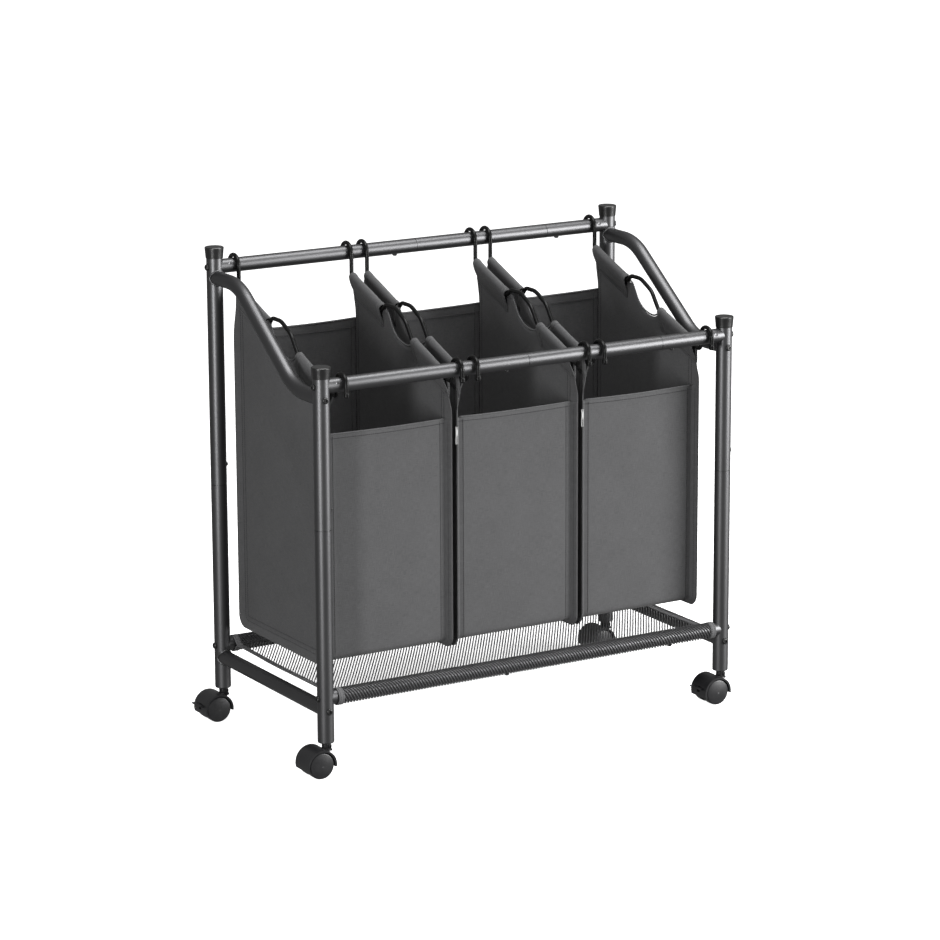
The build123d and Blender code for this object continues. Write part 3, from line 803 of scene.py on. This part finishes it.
        # sewing on the side panel
        for inner, outer in ((bag["flangeOut"] + 1.2 * mm, 1), (bag["flangeOut"] + 8.5 * mm, 1)):
            line = []
            edgeY0, edgeY1, edgeZ = tipFront + inner, tipBack - inner, tipFloor + inner
            radius = max(tipCorner - inner, 2 * mm)
            z = rimHeight(edgeY0) - 10 * mm
            while z > edgeZ + radius:
                line.append((edgeY0, z))
                z -= 6 * mm
            for i in range(9):
                turn = math.radians(180 + 90 * i / 8)
                line.append((edgeY0 + radius + radius * math.cos(turn),
                             edgeZ + radius + radius * math.sin(turn)))
            y = edgeY0 + radius + 6 * mm
            while y < edgeY1 - radius:
                line.append((y, edgeZ))
                y += 6 * mm
            for i in range(9):
                turn = math.radians(270 + 90 * i / 8)
                line.append((edgeY1 - radius + radius * math.cos(turn),
                             edgeZ + radius + radius * math.sin(turn)))
            z = edgeZ + radius + 6 * mm
            while z < rimHeight(edgeY1) - 10 * mm:
                line.append((edgeY1, z))
                z += 6 * mm
            for face in (1, -1):
                points = [sidePoint(sign, y, z, face * 0.62 * mm) for y, z in line]
                sewRow(sewn, Walk(points, [Vector((sign * face, 0, 0))] * len(points)), *seam)
        for y0, y1 in (sleeveFront, sleeveBack):
            for face in (1, -1):
                points = []
                for i in range(20):
                    y = y0 + (y1 - y0) * i / 19
                    base = Vector((centre + sign * (bag["sidePlane"] + face * 1.15 * mm), y, wireHeight(y)))
                    points.append(base - Vector((0, 0, 24.0 * mm / cosine)))
                sewRow(sewn, Walk(points, [Vector((sign * face, 0, 0))] * len(points)), *seam)
        points = [p + f[1] * (3.4 * mm) + Vector((sign * 0.75 * mm, 0, 0)) for p, f in zip(centres, frames)]
        for face in (1, -1):
            drawn = [p - Vector((sign * 1.5 * mm, 0, 0)) if face < 0 else p for p in points]
            sewRow(sewn, Walk(drawn, [Vector((sign * face, 0, 0))] * len(drawn)), 3.2 * mm, 2.2 * mm, 0.3 * mm)
        sewnPiece = sewn.place(f"{label}BagStitches{side}", threadWithPaintedShade, body)
        if side == "Left" and label != "left":
            # a small blank folded tab caught in the front seam
            tab = Patch()
            rootX = centre - (crease + bag["flangeLean"]) + 1.0 * mm
            folds = [(0.0, 0.45), (0.4, 0.5), (0.8, 0.5), (0.97, 0.4), (1.0, 0.0),
                     (0.97, -0.4), (0.8, -0.5), (0.4, -0.5), (0.0, -0.45)]
            tabRows, tabUvs = [], []
            for k in range(9):
                z = sleeveTab["low"] + (sleeveTab["high"] - sleeveTab["low"]) * k / 8
                bow = 0.5 * mm * math.sin(k * 0.9)
                tabRows.append([
                    Vector((rootX - sleeveTab["wide"] * f, tipFront + 0.8 * mm + bow * f + o * mm, z))
                    for f, o in folds])
                tabUvs.append([(sleeveTab["wide"] * f * (1 if o >= 0 else -1), z) for f, o in folds])
            tab.grid(tabRows, tabUvs)
            tab.place(f"{label}BagTab", tabSatin, body, solid=0.25 * mm)
        rimHeight(tipBack) - tipFloor
        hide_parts(f"{label}_bag_{side.lower()}_panel")

    # sewing on the strip: beside each crease and along the hems
    sewn = Patch()
    for sign in (-1, 1):
        for inner in (-3.2 * mm, 8.0 * mm):
            for face in (1, -1):
                line = []
                run = 4 * mm
                while run < total - 4 * mm:
                    line.append(stripPoint(sign * (crease - inner), run, face * 0.62 * mm))
                    run += 5 * mm
                sewRow(sewn, Walk([p for p, _ in line], [n * face for _, n in line]), *seam)
    for edge, depth, sign in ((0.0, 7.0 * mm, 1), (total, 14.2 * mm, -1)):
        for face in (1, -1):
            line = [stripPoint(-crease + 2 * crease * i / 40, edge + sign * depth, face * 1.42 * mm)
                    for i in range(41)]
            sewRow(sewn, Walk([p for p, _ in line], [n * face for _, n in line]), *seam)
    sewnPiece = sewn.place(f"{label}BagStripStitches", threadWithPaintedShade, body)
    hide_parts(f"{label}_bag_body")
    print(f"{label} bag made")


def smoothRamp(value):
    # 0 below -0.2, straight above 0.2, with a rounded knee
    if value <= -0.2:
        return 0.0
    if value >= 0.2:
        return value
    return (value + 0.2) ** 2 / 0.8


def edgeSpaced(count, fine, step, both=True):
    # 0..1 with closely spaced steps at the ends
    ends = [i * step for i in range(fine)]
    start, stop = ends[-1] + step, (1 - ends[-1] - step) if both else 1.0
    middle = [start + (stop - start) * i / count for i in range(count + 1)]
    return ends + middle + ([1 - e for e in reversed(ends)] if both else [])


for label in ("left", "middle", "right"):
    makeBag(label, bagShape)


# net shelf

shelfShape = {
    "sleeveGap": 0.9 * mm, "sag": 5.0 * mm, "stitchIn": 19.0 * mm, "tapeWide": 9.0 * mm, "tapeThick": 1.4 * mm,
    "yarnGap": 5.07 * mm, "lean": 56.3, "thick": 0.7 * mm,
    "mainWide": 1.0 * mm, "crossWide": 0.2 * mm,
}


def makeShelf(shelf):
    low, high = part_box("shelf_mesh")
    railLow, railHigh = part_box("front_shelf_rail")
    radius = (railHigh.z - railLow.z) / 2 + shelf["sleeveGap"]
    railZ = (railLow.z + railHigh.z) / 2
    railY = -(railLow.y + railHigh.y) / 2
    half = high.x
    inner = railY - shelf["stitchIn"]

    # the cloth's line from the front seam, over and under the front rail, across,
    # under the back rail and over it
    back = [(inner + 3 * mm, -0.5 * mm), (inner + 6 * mm, -2.4 * mm)]
    for i in range(23):
        turn = math.radians(290 * i / 22 - 142)
        back.append((railY + radius * math.cos(turn), radius * math.sin(turn)))
    back += [(inner + 5 * mm, 2.6 * mm), (inner, 1.6 * mm)]
    across = [(-inner + 2 * inner * i / 26, 0.0) for i in range(27)]
    line = [(-y, z) for y, z in reversed(back)] + across + back
    marks = [0.0]
    for a, b in zip(line, line[1:]):
        marks.append(marks[-1] + math.hypot(b[0] - a[0], b[1] - a[1]))
    girth = marks[-1]

    def sagAt(x, y):
        share = max(0.0, 1 - (y / inner) ** 2)
        ends = smoothStep(0.0, 70 * mm, half + 8 * mm - abs(x))
        return -shelf["sag"] * share * (0.3 + 0.7 * ends) + 0.9 * mm * ripple(x, y, 0, 12.0, 4.4) * share

    def clothAt(x, k, grow=0.0):
        # the point and outward normal at profile mark k
        y, z = line[k]
        ya, za = line[max(k - 1, 0)]
        yb, zb = line[min(k + 1, len(line) - 1)]
        if abs(yb - ya) + abs(zb - za) < 1e-9:
            yb += 1e-6
        normal = Vector((0, -(zb - za), yb - ya)).normalized()
        puff = 0.3 * mm * ripple(x, k * 0.09, 0, 30.0, 9.9) if abs(y) > inner else 0.0
        # round the rails the cloth's upper face is the inner one
        outward = -1 if abs(y) > inner + 1 * mm else 1
        return Vector((x, y, railZ - 0.4 * mm + z + sagAt(x, y))) + normal * outward * (grow + puff), normal

    net = Patch()
    cot = 1 / math.tan(math.radians(shelf["lean"]))
    for lean, wide in ((1, shelf["mainWide"]), (-1, shelf["crossWide"])):
        start = -half - (girth * cot if lean > 0 else 0)
        stop = half + (girth * cot if lean < 0 else 0)
        for j in range(int((stop - start) / shelf["yarnGap"])):
            x0 = start + (j + 0.5) * shelf["yarnGap"]
            chain = [(x0 + lean * marks[k] * cot, k) for k in range(len(line))]
            chain = [(x, k) for x, k in chain if abs(x) <= half + 2 * mm]
            if len(chain) < 3:
                continue
            spots = [clothAt(x, k, lean * 0.25 * mm) for x, k in chain]
            ring, uvs = [], []
            for i, (point, normal) in enumerate(spots):
                along = spots[min(i + 1, len(spots) - 1)][0] - spots[max(i - 1, 0)][0]
                side = normal.cross(along).normalized() * wide
                lift = normal * min(wide, shelf["thick"])
                ring.append([point + side, point + lift, point - side, point - lift])
                run = marks[chain[i][1]] * 1.155
                uvs.append([(0, run), (0.001, run), (0.002, run), (0.001, run)])
            net.tube(ring, uvs)
    netPiece = net.place("shelfNet", netYarn, "frame")

    tape, sewn = Patch(), Patch()
    for end in (-1, 1):
        edge = [end * (half + shelf["tapeWide"] * (f - 0.1)) for f in (0, 0.1, 0.3, 0.5, 0.7, 0.9, 1.0)]
        rows = [[clothAt(x, k, 0.5 * mm)[0] for k in range(len(line))] for x in edge]
        tape.grid(rows, [[(x, m) for m in marks] for x in edge], flip=end < 0)
        for f in (0.2, 0.72):
            x = end * (half + shelf["tapeWide"] * (f - 0.1))
            for face in (1, -1):
                spots = [clothAt(x, k, (0.5 + 0.85 * face) * mm) for k in range(len(line))]
                sewRow(sewn, Walk([p for p, _ in spots], [n * face for _, n in spots]),
                       3.4 * mm, 2.4 * mm, 0.3 * mm)
    for sign in (-1, 1):
        for face in (1, -1):
            spots = []
            for i in range(100):
                x = -half + 2 * half * i / 99
                spots.append(Vector((x, sign * (inner + 2 * mm), railZ + (0.2 + 1.3 * face) * mm)))
            sewRow(sewn, Walk(spots, [Vector((0, 0, face))] * 100), 3.6 * mm, 2.6 * mm, 0.35 * mm)
    tapePiece = tape.place("shelfTapes", bindingTape, "frame", solid=shelf["tapeThick"])
    sewnPiece = sewn.place("shelfStitches", threadWithPaintedShade, "frame")
    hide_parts("shelf_mesh")
    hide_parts("shelf_edge_tapes")
    print("shelf made", round(girth, 3), "m from seam to seam")


makeShelf(shelfShape)


# castor details

neckShape = {
    "ribs": 7, "root": 5.6 * mm, "reach": 8.3 * mm, "low": 40.5 * mm, "high": 48.3 * mm, "thick": 1.1 * mm,
}


def makeCastorDetails(neck):
    for place in ("front_left", "front_right", "back_left", "back_right"):
        low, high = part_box(f"{place}_castor_axle")
        hub = (low + high) / 2
        trail = 17 * mm
        x, y = hub.x + trail, hub.y
        patch = Patch()
        for i in range(neck["ribs"]):
            turn = math.radians(-78 + 156 * i / (neck["ribs"] - 1))
            out = Vector((math.cos(turn), math.sin(turn), 0))
            side = Vector((-out.y, out.x, 0)) * neck["thick"] / 2
            rows = []
            for z, reach in ((neck["low"], 0.9), (neck["low"] + 2 * mm, 1.0),
                             (neck["high"] - 2 * mm, 1.0), (neck["high"], 0.82)):
                base = Vector((x, y, z))
                a, b = out * neck["root"], out * neck["reach"] * reach
                rows.append([base + a + side, base + b + side * 0.8, base + b - side * 0.8, base + a - side])
            patch.tube(rows, [[(k * 0.002, r * 0.002) for k in range(4)] for r in range(4)])
        # skirt where the neck grows out of the hood
        rows = []
        for z, r in ((38.5, 9.6), (40.0, 9.0), (41.2, 7.6), (42.5, 6.6)):
            turns = [2 * math.pi * k / 32 for k in range(32)]
            rows.append([Vector((x + r * mm * math.cos(turn), y + r * mm * math.sin(turn), z * mm))
                         for turn in turns])
        patch.grid(rows, [[(k * 0.001, r * 0.001) for k in range(32)] for r in range(4)], closed=True)
        neckPiece = patch.place(f"{place}_neck", castorPlastic, f"{place}_castor", bevel=0.25 * mm)
    print("castor details made")


makeCastorDetails(neckShape)


# studio

studio = {
    "floor": (0.88, 0.88, 0.88), "floorLight": (0.92, 0.92, 0.92), "floorGlow": 0.97, "worldLight": 0.24,
    "lights": (
        ("leftStrip", (-2.30, -1.40, 0.50), (0.30, 0.9), 40.0),
        ("rightBank", (2.35, -2.15, 0.95), (1.5, 1.8), 175.0),
        ("overhead", (0.20, -0.60, 3.40), (3.2, 1.4), 125.0),
    ),
    "cameraAt": (-2.8794, -4.7977, 1.7393), "turn": 30.933, "tilt": 13.594, "roll": -0.2535,
    "lens": 142.43,
}


def makeStudio(look):
    # floor
    finish = Finish("paleFloor")
    finish.wear({
        "Base Color": finish.blendColour(
            finish.speckle(finish.coords(), 3.0), look["floor"], look["floorLight"]),
        "Roughness": 0.8, "Specular IOR Level": 0.0,
        "Emission Color": (1.0, 1.0, 1.0, 1), "Emission Strength": look["floorGlow"],
    })
    mesh = bpy.data.meshes.new("studioFloor")
    reach = 40.0
    corners = [(-reach, -reach, 0), (reach, -reach, 0), (reach, reach, 0), (-reach, reach, 0)]
    mesh.from_pydata(corners, [], [(0, 1, 2, 3)])
    mesh.materials.append(finish.material)
    floor = bpy.data.objects.new("studioFloor", mesh)
    bpy.context.scene.collection.objects.link(floor)
    floor.visible_glossy = floor.visible_diffuse = False  # the lamps light the object, not the lit floor

    world = bpy.data.worlds.new("studioLight")
    world.use_nodes = True
    backdrop = world.node_tree.nodes["Background"]
    backdrop.inputs["Color"].default_value = (1.0, 1.0, 1.0, 1)
    backdrop.inputs["Strength"].default_value = look["worldLight"]
    bpy.context.scene.world = world

    for name, place, size, power in look["lights"]:
        lamp = bpy.data.lights.new(name, "AREA")
        lamp.shape = "RECTANGLE"
        lamp.size, lamp.size_y = size
        lamp.energy = power
        light = bpy.data.objects.new(name, lamp)
        bpy.context.scene.collection.objects.link(light)
        light.location = place
        light.rotation_mode = "QUATERNION"
        light.rotation_quaternion = (Vector((0, 0, 0.4)) - Vector(place)).to_track_quat("-Z", "Y")

    camera = bpy.data.cameras.new("camera")
    camera.lens = look["lens"]
    camera.sensor_width = 36.0
    camera.clip_end = 100.0
    view = bpy.data.objects.new("camera", camera)
    bpy.context.scene.collection.objects.link(view)
    yaw, pitch, roll = (math.radians(look[k]) for k in ("turn", "tilt", "roll"))
    ahead = Vector((math.sin(yaw) * math.cos(pitch), math.cos(yaw) * math.cos(pitch), -math.sin(pitch)))
    right = Vector((math.cos(yaw), -math.sin(yaw), 0))
    up = right.cross(ahead)
    right, up = right * math.cos(roll) + up * math.sin(roll), up * math.cos(roll) - right * math.sin(roll)
    place = Matrix((right, up, -ahead)).transposed().to_4x4()
    place.translation = Vector(look["cameraAt"])
    view.matrix_world = place
    bpy.context.scene.camera = view
    bpy.context.scene.view_settings.view_transform = "Standard"


makeStudio(studio)
print("studio made")
